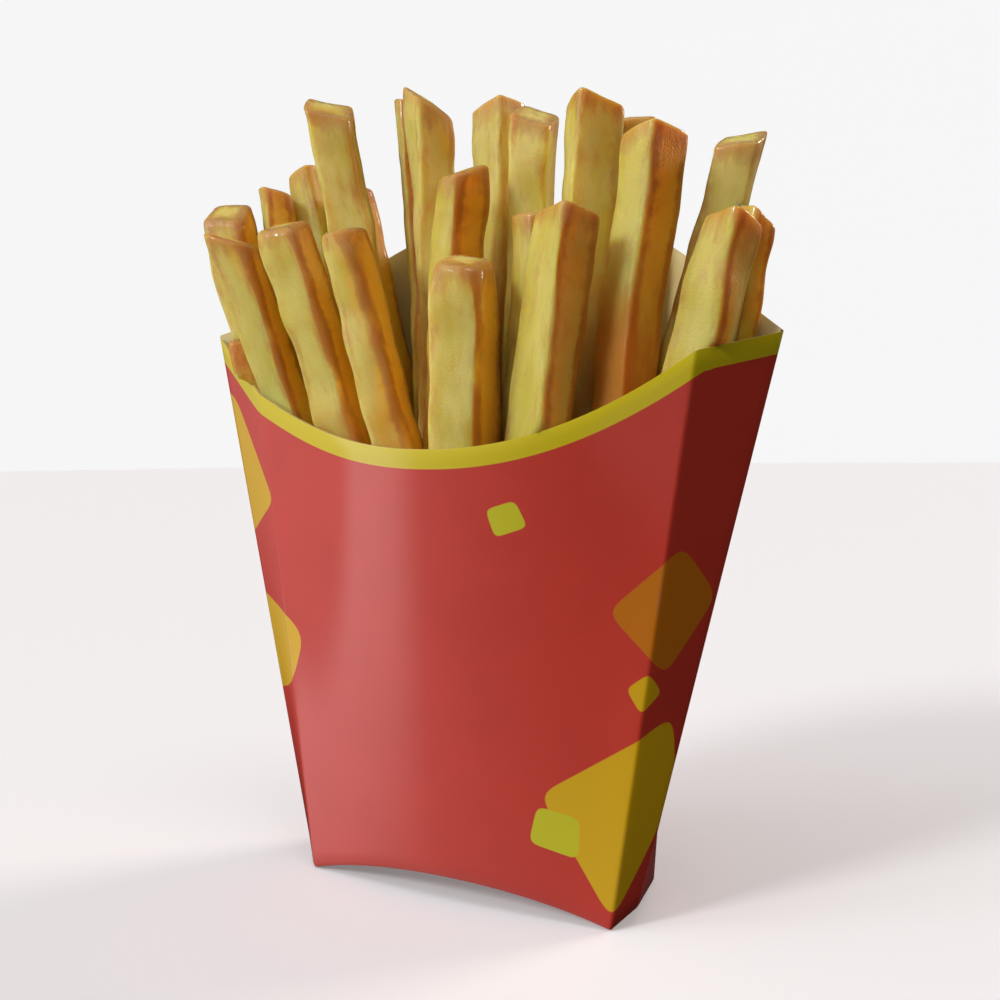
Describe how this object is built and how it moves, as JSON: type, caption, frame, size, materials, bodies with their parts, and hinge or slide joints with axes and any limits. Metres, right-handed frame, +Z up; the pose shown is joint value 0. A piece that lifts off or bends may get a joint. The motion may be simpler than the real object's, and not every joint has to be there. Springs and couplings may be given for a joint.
{
  "type": "fries in paper pouch",
  "caption": "Folded paper scoop pouch with a dipped front rim, a tall rounded back and pointed sides, packed with fries that stand and lean out of its open top.",
  "frame": {"origin": "on the surface the pouch stands on, under the middle of the whole", "axes": "+Z up, -Y towards the low front of the pouch, +X along its width, to the right as seen from the front"},
  "size_m": [0.1235, 0.0408, 0.16],
  "materials": {
    "carton_board": "satin",
    "fried_potato": "satin"
  },
  "bodies": {
    "root": {"carton": "carton_board", "fries": "fried_potato"}
  },
  "joints": []
}
